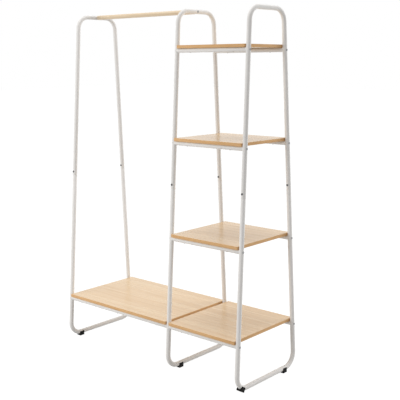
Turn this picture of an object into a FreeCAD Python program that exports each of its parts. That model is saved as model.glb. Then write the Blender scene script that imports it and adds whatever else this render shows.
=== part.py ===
import FreeCAD, Part
import math
import os

Vec = FreeCAD.Vector

# Lengths are in millimetres. X runs along the hanging rod, Y from front to back, Z up from the floor.

# Frames: three upright loops of round tube, wider at the base than at the top
FRAME_HEIGHT = 1500.0        # floor to the crown of the top bars
TUBE_DIAMETER = 19.0
TUBE_WALL = 1.0
LEG_SPREAD_LOW = 383.0       # front leg to rear leg at the bottom bar, centre to centre
LEG_SPREAD_HIGH = 219.5      # the same at the top bar
TOP_BEND_RADIUS = 55.0       # on the centre line of the tube
BOTTOM_BEND_RADIUS = 55.0

# Plug joint: the lower hoop is swaged down to enter the upper hoop
JOINT_SCREW_HEIGHT = 780.0
SEAM_BELOW_SCREW = 17.0      # along the leg
SPIGOT_LENGTH = 40.0
SPIGOT_WALL = 1.0
SPIGOT_GAP = 0.1             # all round, between spigot and upper tube
SHOULDER_LENGTH = 3.0        # where the lower tube narrows to the spigot

# Boards: wood-look panels with a separate edge band
WIDE_BOARD_LENGTH = 603.0
NARROW_BOARD_LENGTH = 346.0
BOARD_THICKNESS = 12.7
BAND_THICKNESS = 0.8
BOARD_END_GAP = 0.6          # board end to the side of the frame tubes
BOARD_OVERHANG = 14.0        # board edge beyond the centre line of the leg
TOP_SHELF_DROP = 150.6       # crown of the frame down to the top shelf
SECOND_SHELF_HEIGHT = 973.3  # floor to the upper face of the board
THIRD_SHELF_HEIGHT = 578.6
BOTTOM_SHELF_HEIGHT = 211.5  # the wide board shares this level

# Rails under the front and rear of every board
RAIL_DIAMETER = 17.5
RAIL_WALL = 1.0
RAIL_END_GAP = 0.1           # coped rail end to leg
NUT_SETBACK = 0.5            # end nut inside the side of the leg
NUT_LENGTH = 18.0
PRESS_GAP = 0.05             # a pressed or screwed piece in its seat, all round
HEAD_ROUNDING = 0.7          # share of a screw head's height that is rounded off

# Hanging rod
ROD_DIAMETER = 20.0
ROD_END_GAP = 0.2            # rod end to top bar
INSERT_DIAMETER = 10.0
INSERT_LENGTH = 20.0
INSERT_SETBACK = 0.3         # insert inside the end of the rod
INSERT_ROOM = 2.0            # free depth behind the insert and the bolt

# Bolts and studs through the frame tubes; every head is low and shaped underneath to the tube it sits on
BOLT_DIAMETER = 6.0
BOLT_LENGTH = 35.0           # from the crown of the tube inwards
BOLT_HOLE_GAP = 0.2          # all round
BOLT_HEAD_DIAMETER = 9.0
BOLT_HEAD_HEIGHT = 0.9       # above the crown of the tube
BOLT_SOCKET = 4.0            # across flats
BOLT_SOCKET_DEPTH = 1.6
STUD_REACH = 15.0            # into each end nut

# Screws in the plug joints
JOINT_SCREW_DIAMETER = 4.0
JOINT_SCREW_LENGTH = 8.0
JOINT_SCREW_HOLE_GAP = 0.1
JOINT_HEAD_DIAMETER = 8.5
JOINT_HEAD_HEIGHT = 1.7
JOINT_SOCKET = 3.0
JOINT_SOCKET_DEPTH = 1.3

# Screws that come up through the rails into the boards
SHELF_SCREW_DIAMETER = 4.0
SHELF_SCREW_BITE = 9.0       # into the board
SHELF_SCREW_HOLE_GAP = 0.2   # in the rail, all round
SHELF_SCREW_TIP_GAP = 0.5    # free depth in the board beyond the tip
SHELF_HEAD_DIAMETER = 7.0
SHELF_HEAD_HEIGHT = 0.8
SHELF_SLOT_LENGTH = 4.0
SHELF_SLOT_WIDTH = 0.9
SHELF_SLOT_DEPTH = 0.6
SHELF_SCREW_INSET = 72.0     # from the centre of the frame tube
NARROW_RAIL_SCREWS = 2
WIDE_RAIL_SCREWS = 3

# Clip feet on the bottom bars; each sits where it was pushed on, measured from the corner of its loop
FOOT_LIFT = 6.0              # floor to the underside of the bottom bar
FOOT_LENGTH = 24.0
FOOT_WALL = 2.0              # beside the bar
FOOT_ARM_RISE = 4.2          # arms above the centre of the bar
FOOT_ROUNDING = 1.5          # on the two lower edges along the foot
FOOT_GAP = 0.1
LEFT_FRONT_FOOT_INSET = 58.2
LEFT_REAR_FOOT_INSET = 18.0
MIDDLE_FRONT_FOOT_INSET = 73.2
MIDDLE_REAR_FOOT_INSET = 18.0
RIGHT_FRONT_FOOT_INSET = 29.5
RIGHT_REAR_FOOT_INSET = 75.5

# Sizes that follow from the ones above
TUBE_RADIUS = TUBE_DIAMETER / 2
TUBE_BORE = TUBE_DIAMETER - 2 * TUBE_WALL
RAIL_RADIUS = RAIL_DIAMETER / 2
RAIL_BORE = RAIL_DIAMETER - 2 * RAIL_WALL
BAR_LOW = FOOT_LIFT + TUBE_RADIUS
BAR_HIGH = FRAME_HEIGHT - TUBE_RADIUS
TOP_SHELF_HEIGHT = FRAME_HEIGHT - TOP_SHELF_DROP
BOARD_CLEAR = 2 * (TUBE_RADIUS + BOARD_END_GAP)
WIDE_BAY = WIDE_BOARD_LENGTH + BOARD_CLEAR
NARROW_BAY = NARROW_BOARD_LENGTH + BOARD_CLEAR
X_LEFT = -(WIDE_BAY + NARROW_BAY) / 2
X_MIDDLE = X_LEFT + WIDE_BAY
X_RIGHT = X_MIDDLE + NARROW_BAY
LEAN = math.atan((LEG_SPREAD_LOW - LEG_SPREAD_HIGH) / 2 / (BAR_HIGH - BAR_LOW))
FRONT = -1
REAR = 1
SIDES = (("front", FRONT), ("rear", REAR))

# Name, the two frames it spans, height of its upper face, screws in each rail
SHELVES = (
    ("top_shelf", X_MIDDLE, X_RIGHT, TOP_SHELF_HEIGHT, NARROW_RAIL_SCREWS),
    ("second_shelf", X_MIDDLE, X_RIGHT, SECOND_SHELF_HEIGHT, NARROW_RAIL_SCREWS),
    ("third_shelf", X_MIDDLE, X_RIGHT, THIRD_SHELF_HEIGHT, NARROW_RAIL_SCREWS),
    ("bottom_shelf", X_MIDDLE, X_RIGHT, BOTTOM_SHELF_HEIGHT, NARROW_RAIL_SCREWS),
    ("wide_shelf", X_LEFT, X_MIDDLE, BOTTOM_SHELF_HEIGHT, WIDE_RAIL_SCREWS),
)
FRAMES = (("left", X_LEFT), ("middle", X_MIDDLE), ("right", X_RIGHT))


def leg_spread(z):
    """Distance of a leg's centre line from the middle plane at height z."""
    return LEG_SPREAD_LOW / 2 - (z - BAR_LOW) * math.tan(LEAN)


def leg_point(x, side, z):
    """Point on the centre line of a front or rear leg."""
    return Vec(x, side * leg_spread(z), z)


def leg_up(side):
    """Direction of a leg, pointing up."""
    return Vec(0, -side * math.sin(LEAN), math.cos(LEAN))


def seam_point(x, side):
    """Point on the leg where the upper and lower hoop meet."""
    return leg_point(x, side, JOINT_SCREW_HEIGHT) - leg_up(side) * SEAM_BELOW_SCREW


def rail_height(board_top):
    """Centre of the rails that carry a board."""
    return board_top - BOARD_THICKNESS - RAIL_RADIUS


def cylinder(diameter, start, direction, length):
    """Round bar from a start point along a direction."""
    return Part.makeCylinder(diameter / 2, length, start, direction)


def bent_path(points, radius):
    """Open path through four points, with both inner corners rounded."""
    edges = []
    last = points[0]
    for before, corner, after in zip(points, points[1:], points[2:]):
        arrive = (corner - before).normalize()
        leave = (after - corner).normalize()
        turn = arrive.getAngle(leave)
        reach = radius * math.tan(turn / 2)
        inward = (leave - arrive).normalize()
        bend_start = corner - arrive * reach
        bend_end = corner + leave * reach
        bend_middle = corner + inward * (radius / math.cos(turn / 2) - radius)
        edges.append(Part.LineSegment(last, bend_start).toShape())
        edges.append(Part.Arc(bend_start, bend_middle, bend_end).toShape())
        last = bend_end
    edges.append(Part.LineSegment(last, points[-1]).toShape())
    return Part.Wire(edges)


def swept_bar(path, diameter):
    """Solid round bar along a path."""
    first = path.Edges[0]
    start = first.valueAt(first.FirstParameter)
    direction = first.tangentAt(first.FirstParameter)
    ring = Part.Wire([Part.makeCircle(diameter / 2, start, direction)])
    return path.makePipeShell([ring], True, False)


def hoop_path(x, bar_z, radius, drop=0.0):
    """Path of half a frame, from the front seam along the leg, across the bar and back to the rear seam.

    Both ends start below the seam by the length of drop.
    """
    ends = [seam_point(x, side) - leg_up(side) * drop for side in (FRONT, REAR)]
    corners = [leg_point(x, side, bar_z) for side in (FRONT, REAR)]
    return bent_path([ends[0], corners[0], corners[1], ends[1]], radius)


def lower_path(x):
    """Centre line of a lower hoop."""
    return hoop_path(x, BAR_LOW, BOTTOM_BEND_RADIUS)


def frame_holes(x):
    """Clearance holes for every bolt, stud and joint screw in one frame."""
    bolt_hole = BOLT_DIAMETER + 2 * BOLT_HOLE_GAP
    screw_hole = JOINT_SCREW_DIAMETER + 2 * JOINT_SCREW_HOLE_GAP
    along_x = Vec(1, 0, 0)
    holes = []
    for side in (FRONT, REAR):
        for level in sorted({top for name, start, end, top, screws in SHELVES if x in (start, end)}):
            centre = leg_point(x, side, rail_height(level))
            holes.append(cylinder(bolt_hole, centre - along_x * TUBE_DIAMETER, along_x, 2 * TUBE_DIAMETER))
        screw_axis = joint_screw_axis(side)
        centre = leg_point(x, side, JOINT_SCREW_HEIGHT)
        holes.append(cylinder(screw_hole, centre, screw_axis, TUBE_DIAMETER))
    if x in (X_LEFT, X_MIDDLE):
        centre = Vec(x, 0, BAR_HIGH)
        holes.append(cylinder(bolt_hole, centre - along_x * TUBE_DIAMETER, along_x, 2 * TUBE_DIAMETER))
    return holes


def upper_hoop(x):
    """Upper half of a frame: two legs and the top bar, bent from one tube."""
    path = hoop_path(x, BAR_HIGH, TOP_BEND_RADIUS)
    tube = swept_bar(path, TUBE_DIAMETER).cut(swept_bar(path, TUBE_BORE))
    return tube.cut(frame_holes(x))


def lower_hoop(x):
    """Lower half of a frame with the swaged spigots that enter the upper half."""
    spigot_diameter = TUBE_BORE - 2 * SPIGOT_GAP
    spigot_bore = spigot_diameter - 2 * SPIGOT_WALL
    bar = swept_bar(lower_path(x), TUBE_DIAMETER)
    bores = [swept_bar(hoop_path(x, BAR_LOW, BOTTOM_BEND_RADIUS, SHOULDER_LENGTH), TUBE_BORE)]
    for side in (FRONT, REAR):
        up = leg_up(side)
        base = seam_point(x, side) - up * SHOULDER_LENGTH
        bar = bar.fuse(cylinder(spigot_diameter, base, up, SHOULDER_LENGTH + SPIGOT_LENGTH))
        bores.append(cylinder(spigot_bore, base - up, up, SHOULDER_LENGTH + SPIGOT_LENGTH + 2))
    return bar.cut(bores + frame_holes(x)).removeSplitter()


def aimed(shape, base, direction):
    """Move a shape built along +Z so that it starts at base and points along direction."""
    turned = shape.copy()
    turned.Placement = FreeCAD.Placement(base, FreeCAD.Rotation(Vec(0, 0, 1), direction))
    return turned


def hexagon_socket(across_flats, head_height, depth):
    """Six-sided cutter that reaches down into a head from above it."""
    radius = across_flats / math.sqrt(3)
    corners = []
    for step in range(7):
        angle = math.radians(60 * step)
        corners.append(Vec(radius * math.cos(angle), radius * math.sin(angle), head_height - depth))
    return Part.Face(Part.makePolygon(corners)).extrude(Vec(0, 0, 2 * depth))


def cross_slot(length, width, head_height, depth):
    """Cross-shaped cutter that reaches down into a head from above it."""
    bars = []
    for size_x, size_y in ((length, width), (width, length)):
        corner = Vec(-size_x / 2, -size_y / 2, head_height - depth)
        bars.append(Part.makeBox(size_x, size_y, 2 * depth, corner))
    return bars[0].fuse(bars[1])


def tube_screw(shank, length, head, head_height, drive, seat, outward, tube_diameter, tube_axis):
    """Screw into a tube, with a low round head that is shaped underneath to the tube's curve.

    The seat is the point of the tube's crown under the middle of the head.
    """
    tube_radius = tube_diameter / 2
    crown = Part.makeCylinder(head / 2, tube_radius + head_height, Vec(0, 0, -tube_radius))
    rim = [edge for edge in crown.Edges if edge.BoundBox.ZMin > head_height / 2]
    crown = aimed(crown.makeFillet(HEAD_ROUNDING * head_height, rim), seat, outward)
    tube_start = seat - outward * tube_radius - tube_axis * head
    crown = crown.cut(cylinder(tube_diameter + 2 * PRESS_GAP, tube_start, tube_axis, 2 * head))
    core = cylinder(shank, seat + outward * (head_height / 2), outward * -1, head_height / 2 + length)
    return crown.fuse(core).cut(aimed(drive, seat, outward))


def frame_bolt(seat, outward, tube_axis):
    """Bolt through a frame tube, its head on the outside."""
    socket = hexagon_socket(BOLT_SOCKET, BOLT_HEAD_HEIGHT, BOLT_SOCKET_DEPTH)
    return tube_screw(
        BOLT_DIAMETER, BOLT_LENGTH, BOLT_HEAD_DIAMETER, BOLT_HEAD_HEIGHT, socket,
        seat, outward, TUBE_DIAMETER, tube_axis
    )


def joint_screw_axis(side):
    """Outward direction of the joint screw: square to the leg, facing the front."""
    return Vec(1, 0, 0).cross(leg_up(side))


def joint_screw(x, side):
    """Screw that locks a plug joint."""
    socket = hexagon_socket(JOINT_SOCKET, JOINT_HEAD_HEIGHT, JOINT_SOCKET_DEPTH)
    outward = joint_screw_axis(side)
    seat = leg_point(x, side, JOINT_SCREW_HEIGHT) + outward * TUBE_RADIUS
    return tube_screw(
        JOINT_SCREW_DIAMETER, JOINT_SCREW_LENGTH, JOINT_HEAD_DIAMETER, JOINT_HEAD_HEIGHT, socket,
        seat, outward, TUBE_DIAMETER, leg_up(side)
    )


def shelf_screw(x, y, rail_z):
    """Cross-head screw from below a rail up into the board."""
    slot = cross_slot(SHELF_SLOT_LENGTH, SHELF_SLOT_WIDTH, SHELF_HEAD_HEIGHT, SHELF_SLOT_DEPTH)
    seat = Vec(x, y, rail_z - RAIL_RADIUS)
    return tube_screw(
        SHELF_SCREW_DIAMETER, RAIL_DIAMETER + SHELF_SCREW_BITE, SHELF_HEAD_DIAMETER, SHELF_HEAD_HEIGHT, slot,
        seat, Vec(0, 0, -1), RAIL_DIAMETER, Vec(1, 0, 0)
    )


def screw_positions(start, end, count):
    """Evenly spaced screw positions along a rail."""
    first = start + SHELF_SCREW_INSET
    step = (end - start - 2 * SHELF_SCREW_INSET) / max(count - 1, 1)
    return [first + step * index for index in range(count)]


def threaded_sleeve(diameter, length, start, direction):
    """Round nut with a bore for the bolt."""
    bore = BOLT_DIAMETER + 2 * PRESS_GAP
    return cylinder(diameter, start, direction, length).cut(cylinder(bore, start, direction, length))


def rail(start, end, side, board_top, screws):
    """Rail tube coped round both legs and drilled for the screws that hold the board."""
    z = rail_height(board_top)
    centre = leg_point(start, side, z)
    along = Vec(1, 0, 0)
    tube = cylinder(RAIL_DIAMETER, centre, along, end - start)
    cuts = [cylinder(RAIL_BORE, centre, along, end - start)]
    for x in (start, end):
        up = leg_up(side)
        base = leg_point(x, side, z) - up * RAIL_DIAMETER
        cuts.append(cylinder(TUBE_DIAMETER + 2 * RAIL_END_GAP, base, up, 2 * RAIL_DIAMETER))
    for x in screw_positions(start, end, screws):
        hole = SHELF_SCREW_DIAMETER + 2 * SHELF_SCREW_HOLE_GAP
        cuts.append(cylinder(hole, Vec(x, centre.y, z - RAIL_DIAMETER), Vec(0, 0, 1), 2 * RAIL_DIAMETER))
    pieces = tube.cut(cuts).Solids
    return max(pieces, key=lambda piece: piece.Volume)


def board_depth(board_top):
    """Front edge to rear edge of a board."""
    return 2 * (leg_spread(board_top - BOARD_THICKNESS) + BOARD_OVERHANG)


def slab(start, end, board_top, inset):
    """Block as thick as a board, smaller than its outline by the inset on all four sides."""
    near = start + BOARD_CLEAR / 2 + inset
    length = end - start - BOARD_CLEAR - 2 * inset
    depth = board_depth(board_top) - 2 * inset
    corner = Vec(near, -depth / 2, board_top - BOARD_THICKNESS)
    return Part.makeBox(length, depth, BOARD_THICKNESS, corner)


def board(start, end, board_top, screws):
    """Board core with pilot holes for its screws."""
    z = board_top - BOARD_THICKNESS
    holes = []
    for side in (FRONT, REAR):
        y = leg_point(start, side, rail_height(board_top)).y
        for x in screw_positions(start, end, screws):
            hole = SHELF_SCREW_DIAMETER + 2 * PRESS_GAP
            holes.append(cylinder(hole, Vec(x, y, z), Vec(0, 0, 1), SHELF_SCREW_BITE + SHELF_SCREW_TIP_GAP))
    return slab(start, end, board_top, BAND_THICKNESS).cut(holes)


def edge_band(start, end, board_top):
    """Band round the four edges of a board."""
    return slab(start, end, board_top, 0).cut(slab(start, end, board_top, BAND_THICKNESS))


def rod_end(x, inward):
    """Centre of one end face of the hanging rod; inward is +1 or -1 along X."""
    return Vec(x + inward * (TUBE_RADIUS + ROD_END_GAP), 0, BAR_HIGH)


def hanging_rod():
    """Wooden rod with a blind hole for the insert in each end."""
    start = rod_end(X_LEFT, 1)
    end = rod_end(X_MIDDLE, -1)
    rod = cylinder(ROD_DIAMETER, start, Vec(1, 0, 0), end.x - start.x)
    hole = INSERT_DIAMETER + 2 * PRESS_GAP
    bolt_tip = BOLT_LENGTH - TUBE_DIAMETER - ROD_END_GAP
    depth = max(INSERT_SETBACK + INSERT_LENGTH, bolt_tip) + INSERT_ROOM
    holes = [cylinder(hole, start, Vec(1, 0, 0), depth), cylinder(hole, end, Vec(-1, 0, 0), depth)]
    return rod.cut(holes)


def foot(x, side, inset):
    """Clip foot on the bottom bar; on the bend it tilts with the bar."""
    y = side * (LEG_SPREAD_LOW / 2 - inset)
    bend_reach = BOTTOM_BEND_RADIUS * math.tan((math.pi / 2 + LEAN) / 2)
    tilt = math.asin(max(0.0, bend_reach - inset) / BOTTOM_BEND_RADIUS)
    bar_z = BAR_LOW + BOTTOM_BEND_RADIUS * (1 - math.cos(tilt))
    width = TUBE_DIAMETER + 2 * FOOT_WALL
    corner = Vec(-width / 2, -FOOT_LENGTH / 2, -BAR_LOW)
    clip = Part.makeBox(width, FOOT_LENGTH, BAR_LOW + FOOT_ARM_RISE, corner)
    along = [edge for edge in clip.Edges if edge.BoundBox.YLength > FOOT_LENGTH / 2]
    clip = clip.makeFillet(FOOT_ROUNDING, [edge for edge in along if edge.BoundBox.ZMax < 0])
    clip.rotate(Vec(0, 0, 0), Vec(1, 0, 0), math.degrees(side * tilt))
    clip.translate(Vec(x, y, bar_z))
    size = 4 * FOOT_LENGTH
    floor = Part.makeBox(size, size, BAR_LOW, Vec(x - size / 2, y - size / 2, -BAR_LOW))
    clip = clip.cut([swept_bar(lower_path(x), TUBE_DIAMETER + 2 * FOOT_GAP), floor])
    return max(clip.Solids, key=lambda piece: piece.Volume)


parts = {}
joint_screws = []
frame_bolts = []
rail_nuts = []
shelf_screws = []
studs = []

for frame_name, frame_x in FRAMES:
    parts["upper_hoop_" + frame_name] = upper_hoop(frame_x)
    parts["lower_hoop_" + frame_name] = lower_hoop(frame_x)
    for side_name, side in SIDES:
        joint_screws.append(joint_screw(frame_x, side))

parts["hanging_rod"] = hanging_rod()
rod_inserts = []
for frame_x, inward in ((X_LEFT, 1), (X_MIDDLE, -1)):
    direction = Vec(inward, 0, 0)
    insert_start = rod_end(frame_x, inward) + direction * INSERT_SETBACK
    rod_inserts.append(threaded_sleeve(INSERT_DIAMETER, INSERT_LENGTH, insert_start, direction))
    bolt_seat = Vec(frame_x, 0, BAR_HIGH) - direction * TUBE_RADIUS
    frame_bolts.append(frame_bolt(bolt_seat, direction * -1, Vec(0, 1, 0)))
parts["rod_insert_nuts"] = Part.makeCompound(rod_inserts)

for shelf, start, end, top, screws in SHELVES:
    parts[shelf + "_board"] = board(start, end, top, screws)
    parts[shelf + "_edge_band"] = edge_band(start, end, top)
    z = rail_height(top)
    for side_name, side in SIDES:
        parts[shelf + "_" + side_name + "_rail"] = rail(start, end, side, top, screws)
        for x, inward in ((start, 1), (end, -1)):
            direction = Vec(inward, 0, 0)
            centre = leg_point(x, side, z)
            nut_start = centre + direction * (TUBE_RADIUS + NUT_SETBACK)
            rail_nuts.append(threaded_sleeve(RAIL_BORE - 2 * PRESS_GAP, NUT_LENGTH, nut_start, direction))
            if x != X_MIDDLE or top != BOTTOM_SHELF_HEIGHT:
                frame_bolts.append(frame_bolt(centre - direction * TUBE_RADIUS, direction * -1, leg_up(side)))
        for x in screw_positions(start, end, screws):
            shelf_screws.append(shelf_screw(x, leg_point(start, side, z).y, z))

for side_name, side in SIDES:
    reach = TUBE_RADIUS + NUT_SETBACK + STUD_REACH
    centre = leg_point(X_MIDDLE, side, rail_height(BOTTOM_SHELF_HEIGHT))
    studs.append(cylinder(BOLT_DIAMETER, centre - Vec(reach, 0, 0), Vec(1, 0, 0), 2 * reach))

parts["joint_screws"] = Part.makeCompound(joint_screws)
parts["frame_bolts"] = Part.makeCompound(frame_bolts)
parts["rail_end_nuts"] = Part.makeCompound(rail_nuts)
parts["shelf_screws"] = Part.makeCompound(shelf_screws)
parts["middle_leg_studs"] = Part.makeCompound(studs)

parts["left_front_foot"] = foot(X_LEFT, FRONT, LEFT_FRONT_FOOT_INSET)
parts["left_rear_foot"] = foot(X_LEFT, REAR, LEFT_REAR_FOOT_INSET)
parts["middle_front_foot"] = foot(X_MIDDLE, FRONT, MIDDLE_FRONT_FOOT_INSET)
parts["middle_rear_foot"] = foot(X_MIDDLE, REAR, MIDDLE_REAR_FOOT_INSET)
parts["right_front_foot"] = foot(X_RIGHT, FRONT, RIGHT_FRONT_FOOT_INSET)
parts["right_rear_foot"] = foot(X_RIGHT, REAR, RIGHT_REAR_FOOT_INSET)

os.makedirs("parts", exist_ok=True)
for name, shape in parts.items():
    shape.exportStep("parts/" + name + ".step")
    print(name, len(shape.Solids), round(shape.Volume / 1000, 2), "cm3", shape.isValid())
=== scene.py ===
# %% [markdown]
# # An open coat stand with a shelf tower
# The real thing is a flat-pack rack: loops of white tube, wood-look boards on thin rails and a wooden rod.
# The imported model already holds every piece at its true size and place. This script dresses those pieces:
# it rebuilds the visible ones with finer meshes, gives each its finish, and then sets light and camera.

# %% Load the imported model
import math

import bmesh
import bpy
from mathutils import Matrix, Vector


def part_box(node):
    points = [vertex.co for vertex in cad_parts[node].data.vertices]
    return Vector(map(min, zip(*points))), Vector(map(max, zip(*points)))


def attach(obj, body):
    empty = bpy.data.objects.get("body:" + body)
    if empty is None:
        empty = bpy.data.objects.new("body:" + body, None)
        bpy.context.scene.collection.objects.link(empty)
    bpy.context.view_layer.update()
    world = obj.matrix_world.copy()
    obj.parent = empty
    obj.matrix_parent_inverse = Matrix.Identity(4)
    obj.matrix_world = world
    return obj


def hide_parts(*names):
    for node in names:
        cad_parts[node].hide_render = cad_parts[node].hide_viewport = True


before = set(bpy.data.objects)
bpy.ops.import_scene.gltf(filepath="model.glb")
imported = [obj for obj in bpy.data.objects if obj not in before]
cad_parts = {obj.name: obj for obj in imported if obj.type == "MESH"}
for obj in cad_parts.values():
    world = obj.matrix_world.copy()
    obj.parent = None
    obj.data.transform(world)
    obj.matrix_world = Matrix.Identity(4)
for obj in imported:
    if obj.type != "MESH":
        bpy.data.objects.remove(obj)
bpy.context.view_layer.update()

# %% [markdown]
# ## The sizes that drive the drawing
# The loops are drawn again as paths, so their few driving sizes are written here in metres.
# Everything that sits on the loops, such as boards and rails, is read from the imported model's own boxes,
# so it can't drift away from the part.

# %% Driving sizes
TUBE_RADIUS = 0.0095
TUBE_WALL = 0.001
BAR_LOW = 0.0155            # centre line of the bottom bars
BAR_HIGH = 1.4905           # centre line of the top bars
HALF_SPREAD_LOW = 0.1915    # leg centre line to the middle plane, at the bottom bar
HALF_SPREAD_HIGH = 0.10975  # the same at the top bar
TOP_BEND = 0.055            # bend radii on the centre line
BOTTOM_BEND = 0.055
JOINT_HEIGHT = 0.780        # screw of the plug joint
SEAM_DROP = 0.017           # seam below that screw, along the leg

LEAN = math.atan((HALF_SPREAD_LOW - HALF_SPREAD_HIGH) / (BAR_HIGH - BAR_LOW))
FRONT = -1
REAR = 1


def middle(node):
    """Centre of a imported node's box."""
    low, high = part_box(node)
    return (low + high) / 2


FRAME_X = {name: middle("upper_hoop_" + name).x for name in ("left", "middle", "right")}
SPANS = {
    "top_shelf": ("middle", "right"),
    "second_shelf": ("middle", "right"),
    "third_shelf": ("middle", "right"),
    "bottom_shelf": ("middle", "right"),
    "wide_shelf": ("left", "middle"),
}


def leg_point(x, side, z):
    """Point on the centre line of a leg."""
    return Vector((x, side * (HALF_SPREAD_LOW - (z - BAR_LOW) * math.tan(LEAN)), z))


def leg_up(side):
    """Direction of a leg, pointing up."""
    return Vector((0, -side * math.sin(LEAN), math.cos(LEAN)))


print("frames at x =", {name: round(x, 4) for name, x in FRAME_X.items()})

# %% [markdown]
# ## Finishes
# A finish is a small node graph that every piece of one material shares. Patterns could come from pictures,
# but each piece would then need a map, so they come from noise that reads Object coordinates. Each piece's
# object sits at the origin, so those coordinates are metres on the real rack, and a grain keeps its true
# scale on every board. A value that is the same all over a piece goes straight on the shader.

# %% Helpers for the finishes
NOISE_LOW = 0.3             # most of a noise pattern lies between these two
NOISE_HIGH = 0.7
WHITE = (1.0, 1.0, 1.0)


def new_finish(name):
    """Node material with its tree and its main shader."""
    finish = bpy.data.materials.new(name)
    finish.use_nodes = True
    return finish, finish.node_tree, finish.node_tree.nodes["Principled BSDF"]


def pattern(tree, stretch, detail=4.0, distortion=0.0):
    """Noise on Object coordinates; stretch is how many features fit in a metre along X, Y and Z."""
    place = tree.nodes.new("ShaderNodeTexCoord")
    mapping = tree.nodes.new("ShaderNodeMapping")
    noise = tree.nodes.new("ShaderNodeTexNoise")
    mapping.inputs["Scale"].default_value = stretch
    noise.inputs["Scale"].default_value = 1.0
    noise.inputs["Detail"].default_value = detail
    noise.inputs["Distortion"].default_value = distortion
    tree.links.new(place.outputs["Object"], mapping.inputs["Vector"])
    tree.links.new(mapping.outputs["Vector"], noise.inputs["Vector"])
    return noise.outputs["Fac"]


def ramp(tree, source, stops):
    """Colour ramp over a pattern; stops are pairs of position and colour."""
    node = tree.nodes.new("ShaderNodeValToRGB")
    elements = node.color_ramp.elements
    while len(elements) < len(stops):
        elements.new(1.0)
    for element, (position, colour) in zip(elements, stops):
        element.position = position
        element.color = (*colour, 1.0)
    tree.links.new(source, node.inputs["Fac"])
    return node.outputs["Color"]


def span(tree, source, low, high):
    """Pattern turned into a number between two limits."""
    node = tree.nodes.new("ShaderNodeMapRange")
    node.inputs["From Min"].default_value = NOISE_LOW
    node.inputs["From Max"].default_value = NOISE_HIGH
    node.inputs["To Min"].default_value = low
    node.inputs["To Max"].default_value = high
    tree.links.new(source, node.inputs["Value"])
    return node.outputs["Result"]


def darken(tree, base, layer, amount):
    """Multiplies one colour pattern by another, as far as amount says."""
    node = tree.nodes.new("ShaderNodeMix")
    node.data_type = "RGBA"
    node.blend_type = "MULTIPLY"
    node.inputs["Factor"].default_value = amount
    tree.links.new(base, node.inputs["A"])
    tree.links.new(layer, node.inputs["B"])
    return node.outputs["Result"]


def relief(tree, shader, source, strength, depth):
    """Surface relief from a pattern, as deep as depth in metres."""
    node = tree.nodes.new("ShaderNodeBump")
    node.inputs["Strength"].default_value = strength
    node.inputs["Distance"].default_value = depth
    tree.links.new(source, node.inputs["Height"])
    tree.links.new(node.outputs["Normal"], shader.inputs["Normal"])


print("finish helpers ready")

# %% [markdown]
# ### White powder coat
# Powder paint melts into a skin with a fine orange-peel relief, about a millimetre from dimple to dimple.
# Real dimples would take millions of faces, so a noise at that scale drives a bump instead. A slower noise
# shifts the tone and the gloss a little along the tube.

# %% Powder coat


def make_powder_coat():
    """Satin white paint with a fine relief."""
    finish, tree, shader = new_finish("white_powder_coat")
    cloud = pattern(tree, (9.0, 9.0, 9.0), detail=3.0)
    peel = pattern(tree, (900.0, 900.0, 900.0), detail=2.0)
    tone = ramp(tree, cloud, [(NOISE_LOW, (0.865, 0.840, 0.813)), (NOISE_HIGH, (0.895, 0.872, 0.845))])
    tree.links.new(tone, shader.inputs["Base Color"])
    tree.links.new(span(tree, cloud, low=0.34, high=0.42), shader.inputs["Roughness"])
    relief(tree, shader, peel, strength=0.05, depth=0.0002)
    return finish


POWDER_COAT = make_powder_coat()
print("finish:", POWDER_COAT.name)

# %% [markdown]
# ### Wood-look board
# The board's face is a printed wood paper under a hard clear film: long pale bands with thin darker
# streaks, all along the board. Noise squeezed across the grain and stretched along X gives both, at two
# scales. The film shines a little less than bare plastic, so the board keeps its colour at a low angle.

# %% Board face


def make_board_face():
    """Pale wood print under a satin film, its grain along X."""
    finish, tree, shader = new_finish("board_face")
    bands = pattern(tree, (1.3, 26.0, 40.0), detail=5.0, distortion=0.5)
    streaks = pattern(tree, (5.0, 330.0, 330.0), detail=3.0)
    tone = ramp(tree, bands, [
        (0.28, (0.765, 0.530, 0.300)),
        (0.50, (0.845, 0.625, 0.395)),
        (0.72, (0.880, 0.680, 0.450)),
    ])
    thread = ramp(tree, streaks, [(0.34, (0.86, 0.76, 0.63)), (0.52, WHITE)])
    shader.inputs["Specular IOR Level"].default_value = 0.34
    tree.links.new(darken(tree, tone, thread, amount=0.25), shader.inputs["Base Color"])
    tree.links.new(span(tree, bands, low=0.22, high=0.30), shader.inputs["Roughness"])
    relief(tree, shader, streaks, strength=0.06, depth=0.0002)
    return finish


BOARD_FACE = make_board_face()
print("finish:", BOARD_FACE.name)

# %% [markdown]
# ### Edge band
# The strip glued round the board is a deeper, more orange tone than the face. Its lines run level along
# every side, so the noise is squeezed in Z and stretched in both X and Y. One graph then serves all four
# sides, and the lines meet at the corners.

# %% Edge band finish


def make_edge_band():
    """Orange-brown strip with level lines."""
    finish, tree, shader = new_finish("edge_band")
    lines = pattern(tree, (5.0, 5.0, 420.0), detail=4.0)
    cloud = pattern(tree, (14.0, 14.0, 60.0), detail=3.0)
    tone = ramp(tree, lines, [
        (0.30, (0.670, 0.378, 0.155)),
        (0.55, (0.800, 0.488, 0.228)),
        (0.75, (0.860, 0.555, 0.276)),
    ])
    shade = ramp(tree, cloud, [(NOISE_LOW, (0.90, 0.86, 0.80)), (NOISE_HIGH, WHITE)])
    tree.links.new(darken(tree, tone, shade, amount=0.7), shader.inputs["Base Color"])
    tree.links.new(span(tree, lines, low=0.42, high=0.56), shader.inputs["Roughness"])
    relief(tree, shader, lines, strength=0.10, depth=0.0002)
    return finish


EDGE_BAND = make_edge_band()
print("finish:", EDGE_BAND.name)

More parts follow.
